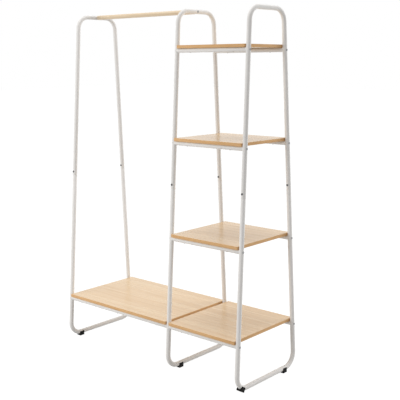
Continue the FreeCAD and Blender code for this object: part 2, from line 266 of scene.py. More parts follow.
# %% [markdown]
# ### Rod wood
# The rod is turned solid wood, paler than the boards, with fibres along its length and a thin satin
# lacquer. Its noise fills space like real fibres do, so the end grain follows without a map round the rod.
# A finer noise sprinkles the short dark pores.

# %% Rod wood


def make_rod_wood():
    """Pale solid wood with fibres along X."""
    finish, tree, shader = new_finish("rod_wood")
    fibres = pattern(tree, (2.2, 120.0, 120.0), detail=5.0, distortion=0.4)
    pores = pattern(tree, (22.0, 900.0, 900.0), detail=2.0)
    tone = ramp(tree, fibres, [
        (0.30, (0.72, 0.548, 0.355)),
        (0.52, (0.83, 0.672, 0.478)),
        (0.74, (0.87, 0.740, 0.555)),
    ])
    dots = ramp(tree, pores, [(0.30, (0.72, 0.60, 0.46)), (0.45, WHITE)])
    tree.links.new(darken(tree, tone, dots, amount=0.4), shader.inputs["Base Color"])
    tree.links.new(span(tree, fibres, low=0.26, high=0.34), shader.inputs["Roughness"])
    relief(tree, shader, pores, strength=0.12, depth=0.0002)
    return finish


ROD_WOOD = make_rod_wood()
print("finish:", ROD_WOOD.name)

# %% [markdown]
# ### Black plastic and plated steel
# The clip feet are matt moulded plastic with a fine spark texture. Bolts and screws are plated steel: a
# metal shader whose roughness wanders a little, as tumbled fasteners have it. The bolts and the screws
# under the shelves are zinc plated and pale, and the joint screws are dark, so one maker takes both tones.

# %% Plastic and steel


def make_foot_plastic():
    """Matt black moulded plastic."""
    finish, tree, shader = new_finish("foot_plastic")
    spark = pattern(tree, (1500.0, 1500.0, 1500.0), detail=2.0)
    cloud = pattern(tree, (60.0, 60.0, 60.0), detail=2.0)
    tone = ramp(tree, cloud, [(NOISE_LOW, (0.004, 0.0038, 0.0038)), (NOISE_HIGH, (0.009, 0.0086, 0.0086))])
    shader.inputs["Specular IOR Level"].default_value = 0.12
    tree.links.new(tone, shader.inputs["Base Color"])
    tree.links.new(span(tree, spark, low=0.46, high=0.62), shader.inputs["Roughness"])
    relief(tree, shader, spark, strength=0.25, depth=0.0001)
    return finish


def make_plated_steel(name, dull, bright):
    """Plated metal between a dull and a bright tone."""
    finish, tree, shader = new_finish(name)
    cloud = pattern(tree, (260.0, 260.0, 260.0), detail=3.0)
    tone = ramp(tree, cloud, [(NOISE_LOW, dull), (NOISE_HIGH, bright)])
    shader.inputs["Metallic"].default_value = 1.0
    tree.links.new(tone, shader.inputs["Base Color"])
    tree.links.new(span(tree, cloud, low=0.30, high=0.46), shader.inputs["Roughness"])
    return finish


FOOT_PLASTIC = make_foot_plastic()
ZINC_STEEL = make_plated_steel("zinc_steel", dull=(0.28, 0.28, 0.285), bright=(0.38, 0.38, 0.385))
DARK_STEEL = make_plated_steel("dark_steel", dull=(0.10, 0.10, 0.105), bright=(0.16, 0.16, 0.165))
print("finishes:", FOOT_PLASTIC.name, ZINC_STEEL.name, DARK_STEEL.name)

# %% [markdown]
# ## Small tools for meshes
# A geometry node tree runs on a carrier object, and the result is copied out as a plain mesh, because only
# plain meshes are kept. The same way, a few modifiers are applied to a mesh before it becomes a piece.

# %% Mesh helpers
MERGE_DISTANCE = 1e-6
SHARP_DEGREES = 35.0        # edges sharper than this stay sharp
FINE_SHARP_DEGREES = 30.0   # the same on small pieces


def evaluated_mesh(base, set_up):
    """Puts a mesh on a carrier object, lets set_up add modifiers, and returns the result as a mesh."""
    carrier = bpy.data.objects.new("carrier", base)
    bpy.context.scene.collection.objects.link(carrier)
    set_up(carrier)
    graph = bpy.context.evaluated_depsgraph_get()
    made = bpy.data.meshes.new_from_object(carrier.evaluated_get(graph))
    bpy.data.objects.remove(carrier)
    return made


def run_tree(base, tree, keys, values):
    """Runs a geometry tree on a mesh; values are given by the names of the tree's inputs."""
    def set_up(carrier):
        modifier = carrier.modifiers.new("tree", "NODES")
        modifier.node_group = tree
        for label, value in values.items():
            modifier[keys[label]] = value
    return evaluated_mesh(base, set_up)


def new_tree(name, inputs):
    """Geometry tree with named inputs; returns the tree, its ends and the identifiers of the inputs."""
    tree = bpy.data.node_groups.new(name, "GeometryNodeTree")
    tree.interface.new_socket("Geometry", in_out="INPUT", socket_type="NodeSocketGeometry")
    tree.interface.new_socket("Geometry", in_out="OUTPUT", socket_type="NodeSocketGeometry")
    keys = {}
    for label, kind in inputs:
        keys[label] = tree.interface.new_socket(label, in_out="INPUT", socket_type=kind).identifier
    return tree, tree.nodes.new("NodeGroupInput"), tree.nodes.new("NodeGroupOutput"), keys


def outward(mesh):
    """Merges doubles and turns every face of a closed or open shell outwards."""
    shell = bmesh.new()
    shell.from_mesh(mesh)
    bmesh.ops.remove_doubles(shell, verts=shell.verts, dist=MERGE_DISTANCE)
    bmesh.ops.recalc_face_normals(shell, faces=shell.faces)
    shell.to_mesh(mesh)
    shell.free()
    return mesh


def smooth(mesh, degrees=SHARP_DEGREES):
    """Smooth shading that keeps edges sharper than the given angle."""
    mesh.shade_smooth()
    mesh.set_sharp_from_angle(angle=math.radians(degrees))
    return mesh


def add_piece(name, mesh, finish, slot, *stands_for):
    """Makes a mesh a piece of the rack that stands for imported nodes."""
    if not mesh.materials:
        mesh.materials.append(finish)
    piece = bpy.data.objects.new(name, mesh)
    bpy.context.scene.collection.objects.link(piece)
    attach(piece, "root")
    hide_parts(*stands_for)
    return piece


print("mesh helpers ready")

# %% [markdown]
# ## The bent tubes
# Each frame is two hoops of round tube that plug together at mid height. A hoop is a path of straight runs
# with two bends, swept with a circle, so one small geometry tree serves all of them: it rounds the corners
# of a polyline and sweeps the circle along it. Straight rails and spigots use the same tree with no bend.

# %% Tree for a bent tube


def make_tube_tree():
    """Tree that rounds the corners of a polyline and sweeps a circle along it."""
    tree, start, end, keys = new_tree("bent_tube", [
        ("Tube Radius", "NodeSocketFloat"),
        ("Tube Sides", "NodeSocketInt"),
        ("Bend Radius", "NodeSocketFloat"),
        ("Bend Steps", "NodeSocketInt"),
        ("Finish", "NodeSocketMaterial"),
    ])
    path = tree.nodes.new("GeometryNodeMeshToCurve")
    bend = tree.nodes.new("GeometryNodeFilletCurve")
    bend.mode = "POLY"
    ring = tree.nodes.new("GeometryNodeCurvePrimitiveCircle")
    sweep = tree.nodes.new("GeometryNodeCurveToMesh")
    whole = tree.nodes.new("GeometryNodeRealizeInstances")
    paint = tree.nodes.new("GeometryNodeSetMaterial")
    link = tree.links.new
    link(start.outputs["Geometry"], path.inputs["Mesh"])
    link(path.outputs["Curve"], bend.inputs["Curve"])
    link(start.outputs["Bend Radius"], bend.inputs["Radius"])
    link(start.outputs["Bend Steps"], bend.inputs["Count"])
    link(start.outputs["Tube Sides"], ring.inputs["Resolution"])
    link(start.outputs["Tube Radius"], ring.inputs["Radius"])
    link(bend.outputs["Curve"], sweep.inputs["Curve"])
    link(ring.outputs["Curve"], sweep.inputs["Profile Curve"])
    link(sweep.outputs["Mesh"], whole.inputs["Geometry"])
    link(whole.outputs["Geometry"], paint.inputs["Geometry"])
    link(start.outputs["Finish"], paint.inputs["Material"])
    link(paint.outputs["Geometry"], end.inputs["Geometry"])
    return tree, keys


TUBE_TREE, TUBE_KEYS = make_tube_tree()
TUBE_SIDES = 40
BEND_STEPS = 24


def tube_skin(points, radius, bend=0.0):
    """Open skin of a tube along a polyline, its normals pointing out."""
    base = bpy.data.meshes.new("path")
    base.from_pydata(points, [(k, k + 1) for k in range(len(points) - 1)], [])
    values = {
        "Tube Radius": radius,
        "Tube Sides": TUBE_SIDES,
        "Bend Radius": bend,
        "Bend Steps": BEND_STEPS if bend else 0,
        "Finish": POWDER_COAT,
    }
    return outward(run_tree(base, TUBE_TREE, TUBE_KEYS, values))


print("tree:", TUBE_TREE.name, "inputs:", list(TUBE_KEYS))

# %% [markdown]
# The sweep is only a skin. Solidify gives it the real one-millimetre wall, inwards, and a small bevel
# rounds the cut ends, so the seam between two hoops shows as the fine groove it is on the real rack.

# %% Wall and rounded rim
RIM_ROUND = 0.00035
RIM_ROUND_STEPS = 2
RIM_ANGLE = math.radians(50)    # only edges sharper than this are rims


def with_wall(skin, wall):
    """Gives an open tube skin its wall and rounds the rims."""
    def set_up(carrier):
        solid = carrier.modifiers.new("wall", "SOLIDIFY")
        solid.thickness = wall
        solid.offset = -1.0
        rim = carrier.modifiers.new("rim", "BEVEL")
        rim.width = RIM_ROUND
        rim.segments = RIM_ROUND_STEPS
        rim.limit_method = "ANGLE"
        rim.angle_limit = RIM_ANGLE
    return evaluated_mesh(skin, set_up)


def joined(*meshes):
    """Several meshes as one."""
    whole = bmesh.new()
    for mesh in meshes:
        whole.from_mesh(mesh)
    made = bpy.data.meshes.new("joined")
    whole.to_mesh(made)
    whole.free()
    made.materials.append(POWDER_COAT)
    return made


print("rim rounding:", RIM_ROUND)

# %% [markdown]
# ## Hoops
# The upper hoop runs from one seam up over the top bar to the other seam. The lower hoop runs under the
# bottom bar and carries a narrower spigot above each seam, which hides inside the upper hoop. A whole loop
# could be swept in one go, but two hoops leave the real seam at mid height.

# %% Hoops
SPIGOT_RADIUS = 0.0084
SPIGOT_LENGTH = 0.040
SHOULDER = 0.003


def seam(x, side):
    """Point on a leg where the two hoops meet."""
    return leg_point(x, side, JOINT_HEIGHT) - leg_up(side) * SEAM_DROP


def hoop(x, bar_z, bend):
    """Walled tube from seam to seam round one bar."""
    points = [seam(x, FRONT), leg_point(x, FRONT, bar_z), leg_point(x, REAR, bar_z), seam(x, REAR)]
    return with_wall(tube_skin(points, TUBE_RADIUS, bend), TUBE_WALL)


def spigot(x, side):
    """Swaged end of a lower hoop."""
    base = seam(x, side)
    points = [base - leg_up(side) * SHOULDER, base + leg_up(side) * SPIGOT_LENGTH]
    return with_wall(tube_skin(points, SPIGOT_RADIUS), TUBE_WALL)


for name, x in FRAME_X.items():
    upper = smooth(hoop(x, BAR_HIGH, TOP_BEND))
    lower = smooth(joined(hoop(x, BAR_LOW, BOTTOM_BEND), spigot(x, FRONT), spigot(x, REAR)))
    add_piece("painted_upper_hoop_" + name, upper, POWDER_COAT, "white_paint", "upper_hoop_" + name)
    add_piece("painted_lower_hoop_" + name, lower, POWDER_COAT, "white_paint", "lower_hoop_" + name)
    print(name, "hoops:", len(upper.polygons), len(lower.polygons), "faces")

# %% [markdown]
# ## Rails
# A thin tube runs under the front and the rear of every board. Its ends are coped: cut to a fish mouth that
# fits round the leg. A boolean cut would leave untidy faces there, so the end rings of a straight tube are
# pushed onto the leg's cylinder instead.

# %% Rails
RAIL_RADIUS = 0.00875
RAIL_WALL = 0.001
COPE_GAP = 0.0001


def cope(skin, side, ends):
    """Moves both end rings of a rail along X until they lie on the legs."""
    centre_x = sum(ends) / 2
    for vertex in skin.vertices:
        x = min(ends, key=lambda end: abs(end - vertex.co.x))
        off_axis = (vertex.co.y - leg_point(x, side, vertex.co.z).y) * math.cos(LEAN)
        reach = math.sqrt((TUBE_RADIUS + COPE_GAP) ** 2 - off_axis ** 2)
        vertex.co.x = x + math.copysign(reach, centre_x - x)
    return skin


for shelf, span_names in SPANS.items():
    ends = [FRAME_X[name] for name in span_names]
    for side_name, side in (("front", FRONT), ("rear", REAR)):
        node = shelf + "_" + side_name + "_rail"
        centre = middle(node)
        points = [Vector((x, centre.y, centre.z)) for x in ends]
        skin = cope(tube_skin(points, RAIL_RADIUS), side, ends)
        add_piece("painted_" + node, smooth(with_wall(skin, RAIL_WALL)), POWDER_COAT, "white_paint", node)
    print(shelf, "rails at z =", round(centre.z, 4))

# %% [markdown]
# ## Boards and their bands
# A board is a flat panel, and its band a thin strip glued round the four edges. Both are boxes by nature,
# so what makes them read as real is the edge: the band's outer edges are rounded and the panel's are eased,
# which leaves a hair line between the two.

# %% Boards
PANEL_EASE = 0.00015
BAND_ROUND = 0.0006
BAND_ROUND_STEPS = 3


def panel(node):
    """Flat panel that fills a board node's box, with eased edges."""
    low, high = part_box(node)
    block = bmesh.new()
    bmesh.ops.create_cube(block, size=1.0)
    bmesh.ops.scale(block, vec=high - low, verts=block.verts)
    bmesh.ops.translate(block, vec=(low + high) / 2, verts=block.verts)
    bmesh.ops.bevel(block, geom=block.edges[:], offset=PANEL_EASE, segments=1, affect="EDGES")
    mesh = bpy.data.meshes.new(node)
    block.to_mesh(mesh)
    block.free()
    return mesh


def band(node, board_node):
    """Strip between a board's own box and the band's outer box, rounded on the outside."""
    low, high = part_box(node)
    inner_low, inner_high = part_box(board_node)
    strip = bmesh.new()
    loops = []
    for a, b in ((low, high), (inner_low, inner_high)):
        for z in (low.z, high.z):
            corners = ((a.x, a.y), (b.x, a.y), (b.x, b.y), (a.x, b.y))
            loops.append([strip.verts.new((x, y, z)) for x, y in corners])
    outer_low, outer_high, core_low, core_high = loops
    for k in range(4):
        n = (k + 1) % 4
        strip.faces.new((outer_low[k], outer_low[n], outer_high[n], outer_high[k]))
        strip.faces.new((core_low[n], core_low[k], core_high[k], core_high[n]))
        strip.faces.new((outer_high[k], outer_high[n], core_high[n], core_high[k]))
        strip.faces.new((outer_low[n], outer_low[k], core_low[k], core_low[n]))
    outer = set(outer_low + outer_high)
    edges = [edge for edge in strip.edges if set(edge.verts) <= outer]
    bmesh.ops.bevel(
        strip, geom=edges, offset=BAND_ROUND, segments=BAND_ROUND_STEPS, profile=0.5, affect="EDGES"
    )
    mesh = bpy.data.meshes.new(node)
    strip.to_mesh(mesh)
    strip.free()
    return outward(mesh)


for shelf in SPANS:
    board_node = shelf + "_board"
    band_node = shelf + "_edge_band"
    add_piece("faced_" + board_node, smooth(panel(board_node)), BOARD_FACE, "board", board_node)
    add_piece("glued_" + band_node, smooth(band(band_node, board_node)), EDGE_BAND, "edge_band", band_node)
    low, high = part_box(band_node)
    print(shelf, "board", [round(v, 4) for v in high - low])

# %% [markdown]
# ## Turned shapes
# The rod, the bolts and the screws are all turned about one axis, apart from their drive sockets. One
# helper stacks rings along the axis and skins them. A ring is any radius by angle, so the same helper turns
# a round shank, a hexagon socket or a cross recess, and going from one to the next needs no boolean cut.

# %% Turning helper
RING_STEPS = 48
TINY = 1e-9                 # keeps a division away from zero


def round_ring(radius):
    """Circle."""
    return lambda angle: radius


def hexagon_ring(across_flats):
    """Hexagon by its width across the flats."""
    half_side = math.pi / 6     # angle from the middle of a flat to its corner

    def radius(angle):
        from_flat = (angle + half_side) % (2 * half_side) - half_side
        return across_flats / 2 / math.cos(from_flat)
    return radius


def cross_ring(length, width):
    """Plus shape of two slots."""
    def slot_radius(angle):
        across = max(abs(math.cos(angle)), TINY)
        along = max(abs(math.sin(angle)), TINY)
        return min(length / 2 / across, width / 2 / along)
    return lambda angle: max(slot_radius(angle), slot_radius(angle + math.pi / 2))


def turned(stack):
    """Closed shape about Z from (ring, height) pairs; the first and last ring are closed with a point."""
    shape = bmesh.new()
    rings = []
    for ring, height in stack:
        angles = [2 * math.pi * step / RING_STEPS for step in range(RING_STEPS)]
        rings.append([
            shape.verts.new((ring(a) * math.cos(a), ring(a) * math.sin(a), height)) for a in angles
        ])
    for lower, upper in zip(rings, rings[1:]):
        for k in range(RING_STEPS):
            n = (k + 1) % RING_STEPS
            shape.faces.new((lower[k], lower[n], upper[n], upper[k]))
    for ring, height in ((rings[0], stack[0][1]), (rings[-1], stack[-1][1])):
        tip = shape.verts.new((0, 0, height))
        for k in range(RING_STEPS):
            shape.faces.new((ring[k], ring[(k + 1) % RING_STEPS], tip))
    mesh = bpy.data.meshes.new("turned")
    shape.to_mesh(mesh)
    shape.free()
    return outward(mesh)


print("ring steps:", RING_STEPS)

# %% [markdown]
# ## Hanging rod
# A dowel with a small chamfer at each end and a blind hole for the threaded insert. A plain cylinder would
# do for the middle, but the chamfers catch the light beside the bars, so it is turned from rings. That
# happens about Z, and then the rod is laid along X between the two top bars.

# %% Hanging rod
ROD_CHAMFER = 0.001
INSERT_HOLE_RADIUS = 0.00505
INSERT_HOLE_DEPTH = 0.0223


def make_rod():
    """Chamfered rod that fills its node's box."""
    low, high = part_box("hanging_rod")
    half = (high.x - low.x) / 2
    radius = (high.z - low.z) / 2
    body = round_ring(radius)
    end = round_ring(radius - ROD_CHAMFER)
    hole = round_ring(INSERT_HOLE_RADIUS)
    stack = [
        (hole, INSERT_HOLE_DEPTH - half),
        (hole, -half),
        (end, -half),
        (body, ROD_CHAMFER - half),
        (body, half - ROD_CHAMFER),
        (end, half),
        (hole, half),
        (hole, half - INSERT_HOLE_DEPTH),
    ]
    mesh = turned(stack)
    mesh.transform(Matrix.Translation((low + high) / 2) @ Matrix.Rotation(math.pi / 2, 4, "Y"))
    return smooth(mesh)


rod = add_piece("turned_hanging_rod", make_rod(), ROD_WOOD, "rod_wood", "hanging_rod")
print("rod length:", round(rod.dimensions.x, 4))

# %% [markdown]
# ## Clip feet
# Each foot is a moulded block with a round bore that snaps over the bottom bar. Its section is one outline,
# repeated along the foot, and the edges are bevelled as a mould would leave them. The feet sit where they
# were pushed on. Three of them sit on a bend and tilt with the tube. A straight bore would cut into a bent
# tube, so each section lifts its bore by the rise of the bar there. A tilted block's box is not centred on
# the bar, so the tilt is worked out from the box with the block's own height.

# %% Clip feet
FOOT_LENGTH = 0.024
FOOT_HALF_WIDTH = 0.0115
FOOT_BORE = 0.0096
FOOT_ARM_RISE = 0.0042
FOOT_ROUND = 0.0008
FOOT_ROUND_STEPS = 3
FOOT_EDGE_ANGLE = math.radians(40)  # only edges sharper than this are rounded
ARC_STEPS = 24
FOOT_STATIONS = 9           # sections along a foot


def arc(radius, start, stop, lift=0.0):
    """Points on an arc about the bar's centre, in the section plane."""
    steps = [start + (stop - start) * k / ARC_STEPS for k in range(ARC_STEPS + 1)]
    return [(radius * math.cos(a), lift + radius * math.sin(a)) for a in steps]


def foot_section(lift):
    """Closed outline of the clip: sole, outer sides, arm tips and bore, which is raised by lift."""
    tip_angle = math.asin((FOOT_ARM_RISE - lift) / FOOT_BORE)
    outline = [(-FOOT_HALF_WIDTH, -BAR_LOW), (FOOT_HALF_WIDTH, -BAR_LOW), (FOOT_HALF_WIDTH, FOOT_ARM_RISE)]
    outline += arc(FOOT_BORE, tip_angle, -math.pi - tip_angle, lift)
    outline.append((-FOOT_HALF_WIDTH, FOOT_ARM_RISE))
    return outline


def bend_rise(past):
    """Rise of the bar at a distance past the start of its bend, along the straight."""
    return BOTTOM_BEND - math.sqrt(BOTTOM_BEND ** 2 - past ** 2)


def clip_foot(bar_rise):
    """One foot about the bar's centre line, which runs along Y; bar_rise gives the bar's rise at y."""
    block = bmesh.new()
    sections = []
    for station in range(FOOT_STATIONS):
        y = FOOT_LENGTH * (station / (FOOT_STATIONS - 1) - 0.5)
        sections.append([block.verts.new((x, y, z)) for x, z in foot_section(bar_rise(y))])
    for section, following in zip(sections, sections[1:]):
        for k in range(len(section)):
            block.faces.new((section[k - 1], section[k], following[k], following[k - 1]))
    block.faces.new(sections[0])
    block.faces.new(sections[-1])
    mesh = bpy.data.meshes.new("clip_foot")
    block.to_mesh(mesh)
    block.free()
    outward(mesh)

    def set_up(carrier):
        rounding = carrier.modifiers.new("rounding", "BEVEL")
        rounding.width = FOOT_ROUND
        rounding.segments = FOOT_ROUND_STEPS
        rounding.limit_method = "ANGLE"
        rounding.angle_limit = FOOT_EDGE_ANGLE
    return evaluated_mesh(mesh, set_up)


print("foot:", FOOT_LENGTH, "m long")

# %% [markdown]
# A foot near the end of the straight bar may still reach onto the bend, so there the bore rises only past
# the point where the bend starts. On the bend itself the bore rises alike to both sides of the middle.

# %% Push the feet on
STRAIGHT_HALF = HALF_SPREAD_LOW - BOTTOM_BEND * math.tan((math.pi / 2 + LEAN) / 2)
FOOT_DROP = (BAR_LOW - FOOT_ARM_RISE) / 2   # the block's middle below the bar's centre


def rise_from(y):
    """Rise of the bar along a level foot whose middle is at y."""
    return lambda along: bend_rise(max(0.0, abs(y + along) - STRAIGHT_HALF))


for frame_name, x in FRAME_X.items():
    for side_name, side in (("front", FRONT), ("rear", REAR)):
        node = frame_name + "_" + side_name + "_foot"
        past_bend = max(0.0, abs(middle(node).y) - STRAIGHT_HALF)
        tilt = math.asin(past_bend / (BOTTOM_BEND + FOOT_DROP))
        y = middle(node).y - side * FOOT_DROP * math.sin(tilt)
        bar_z = BAR_LOW + BOTTOM_BEND * (1 - math.cos(tilt))
        mesh = clip_foot(bend_rise if tilt > 0.0 else rise_from(y))
        mesh.transform(Matrix.Translation((x, y, bar_z)) @ Matrix.Rotation(side * tilt, 4, "X"))
        add_piece("moulded_" + node, smooth(mesh, FINE_SHARP_DEGREES), FOOT_PLASTIC, "foot_plastic", node)
        print(node, "y =", round(y, 4), "tilt =", round(math.degrees(tilt), 1))

# %% [markdown]
# ## Bolts and screws
# The rack has three kinds of fastener, many of each. One of each kind is turned, and a geometry tree puts a
# copy on every seat point, turned to face the way the seat says, with a fixed-seed random spin so the
# sockets don't all line up, as on anything put together by hand.

# %% Tree for fasteners


def make_fastener_tree():
    """Tree that puts a fastener on every point and turns it to the point's facing."""
    tree, start, end, keys = new_tree("fasteners_on_seats", [
        ("Fastener", "NodeSocketObject"),
        ("Seed", "NodeSocketInt"),
        ("Finish", "NodeSocketMaterial"),
    ])
    facing = tree.nodes.new("GeometryNodeInputNamedAttribute")
    facing.data_type = "FLOAT_VECTOR"
    facing.inputs["Name"].default_value = "facing"
    aim = tree.nodes.new("FunctionNodeAlignRotationToVector")
    aim.axis = "Z"
    spin = tree.nodes.new("FunctionNodeRandomValue")
    spin.inputs[3].default_value = 2 * math.pi
    about_z = tree.nodes.new("ShaderNodeCombineXYZ")
    as_turn = tree.nodes.new("FunctionNodeEulerToRotation")
    both = tree.nodes.new("FunctionNodeRotateRotation")
    both.rotation_space = "LOCAL"
    source = tree.nodes.new("GeometryNodeObjectInfo")
    place = tree.nodes.new("GeometryNodeInstanceOnPoints")
    whole = tree.nodes.new("GeometryNodeRealizeInstances")
    paint = tree.nodes.new("GeometryNodeSetMaterial")
    link = tree.links.new
    link(facing.outputs["Attribute"], aim.inputs["Vector"])
    link(start.outputs["Seed"], spin.inputs["Seed"])
    link(spin.outputs[1], about_z.inputs["Z"])
    link(about_z.outputs["Vector"], as_turn.inputs["Euler"])
    link(aim.outputs["Rotation"], both.inputs["Rotation"])
    link(as_turn.outputs["Rotation"], both.inputs["Rotate By"])
    link(start.outputs["Fastener"], source.inputs["Object"])
    link(start.outputs["Geometry"], place.inputs["Points"])
    link(source.outputs["Geometry"], place.inputs["Instance"])
    link(both.outputs["Rotation"], place.inputs["Rotation"])
    link(place.outputs["Instances"], whole.inputs["Geometry"])
    link(whole.outputs["Geometry"], paint.inputs["Geometry"])
    link(start.outputs["Finish"], paint.inputs["Material"])
    link(paint.outputs["Geometry"], end.inputs["Geometry"])
    return tree, keys


FASTENER_TREE, FASTENER_KEYS = make_fastener_tree()
print("tree:", FASTENER_TREE.name, "inputs:", list(FASTENER_KEYS))

# %% [markdown]
# A fastener is drawn with the crown of its tube at z = 0: the low head above, the shank below. The head's
# rim reaches down the curve of the tube, so nothing gapes under it. Its edge is a quarter arc, and the
# drive socket is sunk into its flat crown.

# %% One of each fastener
DOME_SHARE = 0.7            # part of the head's height that is domed
DOME_STEPS = 6
TIP_CHAMFER = 0.0006
SHELF_SCREW_BITE = 0.009    # into the board


def fastener(shank, length, head, height, tube, socket, socket_depth):
    """Low-headed fastener; shank, head and tube are radii, socket is the ring of the drive recess."""
    dome = DOME_SHARE * height
    rim = math.sqrt(tube ** 2 - head ** 2) - tube
    stack = [
        (round_ring(shank - TIP_CHAMFER), -length),
        (round_ring(shank), TIP_CHAMFER - length),
        (round_ring(shank), rim),
        (round_ring(head), rim),
    ]
    for step in range(DOME_STEPS + 1):
        angle = math.pi / 2 * step / DOME_STEPS
        edge = head - dome + dome * math.cos(angle)
        stack.append((round_ring(edge), height - dome + dome * math.sin(angle)))
    stack.append((socket, height))
    stack.append((socket, height - socket_depth))
    return smooth(turned(stack), FINE_SHARP_DEGREES)


frame_bolt = fastener(
    shank=0.003, length=0.035, head=0.0045, height=0.0009, tube=TUBE_RADIUS,
    socket=hexagon_ring(across_flats=0.004), socket_depth=0.0016
)
joint_screw = fastener(
    shank=0.002, length=0.008, head=0.00425, height=0.0017, tube=TUBE_RADIUS,
    socket=hexagon_ring(across_flats=0.003), socket_depth=0.0013
)
shelf_screw = fastener(
    shank=0.002, length=2 * RAIL_RADIUS + SHELF_SCREW_BITE, head=0.0035, height=0.0008, tube=RAIL_RADIUS,
    socket=cross_ring(length=0.004, width=0.0009), socket_depth=0.0006
)
print("fastener faces:", [len(mesh.polygons) for mesh in (frame_bolt, joint_screw, shelf_screw)])

# %% [markdown]
# The seats follow from the frames and the rails. Bolts press on the outer side of a leg at both ends of a
# rail. Where the wide and the bottom shelf share the middle leg, a hidden stud joins the two rails instead,
# so no bolt head shows there.

# %% Seats
SHELF_SCREW_INSET = 0.072   # from the centre of the frame tube
NARROW_RAIL_SCREWS = 2
WIDE_RAIL_SCREWS = 3
along_x = Vector((1, 0, 0))
down = Vector((0, 0, -1))
bolt_seats = []
shelf_screw_seats = []
for shelf, (start_name, end_name) in SPANS.items():
    start_x = FRAME_X[start_name]
    end_x = FRAME_X[end_name]
    count = WIDE_RAIL_SCREWS if shelf == "wide_shelf" else NARROW_RAIL_SCREWS
    step = (end_x - start_x - 2 * SHELF_SCREW_INSET) / (count - 1)
    for side_name in ("front", "rear"):
        rail_node = shelf + "_" + side_name + "_rail"
        centre = middle(rail_node)
        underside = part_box(rail_node)[0].z
        if shelf != "bottom_shelf":
            bolt_seats.append((Vector((start_x - TUBE_RADIUS, centre.y, centre.z)), -along_x))
        if shelf != "wide_shelf":
            bolt_seats.append((Vector((end_x + TUBE_RADIUS, centre.y, centre.z)), along_x))
        for k in range(count):
            seat = Vector((start_x + SHELF_SCREW_INSET + k * step, centre.y, underside))
            shelf_screw_seats.append((seat, down))
bolt_seats.append((Vector((FRAME_X["left"] - TUBE_RADIUS, 0, BAR_HIGH)), -along_x))
bolt_seats.append((Vector((FRAME_X["middle"] + TUBE_RADIUS, 0, BAR_HIGH)), along_x))

joint_seats = []
for x in FRAME_X.values():
    for side in (FRONT, REAR):
        to_front = along_x.cross(leg_up(side))
        joint_seats.append((leg_point(x, side, JOINT_HEIGHT) + to_front * TUBE_RADIUS, to_front))
print("seats:", len(bolt_seats), len(joint_seats), len(shelf_screw_seats))

# %% [markdown]
# The seats become the points of a bare mesh, and the way each one faces is stored on its point, where the
# tree reads it. All fasteners of a kind become one piece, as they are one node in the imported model.

# %% Put the fasteners on their seats
BOLT_SEED = 3
JOINT_SCREW_SEED = 5
SHELF_SCREW_SEED = 8


def fasten(name, mesh, seats, seed, finish, slot, node):
    """Copies a fastener onto its seats and makes the group one piece."""
    base = bpy.data.meshes.new(name)
    base.from_pydata([seat for seat, facing in seats], [], [])
    attribute = base.attributes.new("facing", "FLOAT_VECTOR", "POINT")
    for item, (seat, facing) in zip(attribute.data, seats):
        item.vector = facing
    sample = bpy.data.objects.new("sample", mesh)
    values = {"Fastener": sample, "Seed": seed, "Finish": finish}
    group = run_tree(base, FASTENER_TREE, FASTENER_KEYS, values)
    bpy.data.objects.remove(sample)
    add_piece(name, group, finish, slot, node)
    print(name, len(group.polygons), "faces")


fasten(
    "domed_frame_bolts", frame_bolt, bolt_seats, BOLT_SEED, ZINC_STEEL, "fastener_steel", "frame_bolts"
)
fasten(
    "domed_joint_screws", joint_screw, joint_seats, JOINT_SCREW_SEED, DARK_STEEL, "dark_steel",
    "joint_screws"
)
fasten(
    "cross_shelf_screws", shelf_screw, shelf_screw_seats, SHELF_SCREW_SEED, ZINC_STEEL, "fastener_steel",
    "shelf_screws"
)

# %% [markdown]
# The nuts in the rail ends, the inserts in the rod and the two studs are hidden inside the tubes. Their
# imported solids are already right, so they only get the steel finish.

# %% Hidden hardware
for node in ("rail_end_nuts", "rod_insert_nuts", "middle_leg_studs"):
    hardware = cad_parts[node]
    hardware.data.materials.clear()
    hardware.data.materials.append(ZINC_STEEL)
    print(node, "keeps its packed solid")

# %% [markdown]
# ## Floor
# The rack stands on a seamless pale floor. A plain white floor would need so much light that the white
# tubes lose their shading. So, seen by the camera or in a reflection, this floor glows just under white and
# adds a little of the light that falls on it: it merges with the white background and keeps a soft shadow.

# %% Floor
FLOOR_SIZE = 60.0
FLOOR_GLOW = 0.94           # what the floor shows with no light on it
FLOOR_SHADE = 0.16          # share of the light on it that it shows, and so how deep its shadow is
FLOOR_BOUNCE = 0.55         # what it sends back up to the rack
FLOOR_ROUGHNESS = 0.9


def seen_directly(tree):
    """1 for camera, glossy and transmission rays, 0 for rays that only carry light."""
    rays = tree.nodes.new("ShaderNodeLightPath")
    first = tree.nodes.new("ShaderNodeMath")
    first.operation = "MAXIMUM"
    second = tree.nodes.new("ShaderNodeMath")
    second.operation = "MAXIMUM"
    tree.links.new(rays.outputs["Is Camera Ray"], first.inputs[0])
    tree.links.new(rays.outputs["Is Glossy Ray"], first.inputs[1])
    tree.links.new(first.outputs[0], second.inputs[0])
    tree.links.new(rays.outputs["Is Transmission Ray"], second.inputs[1])
    return second.outputs[0]


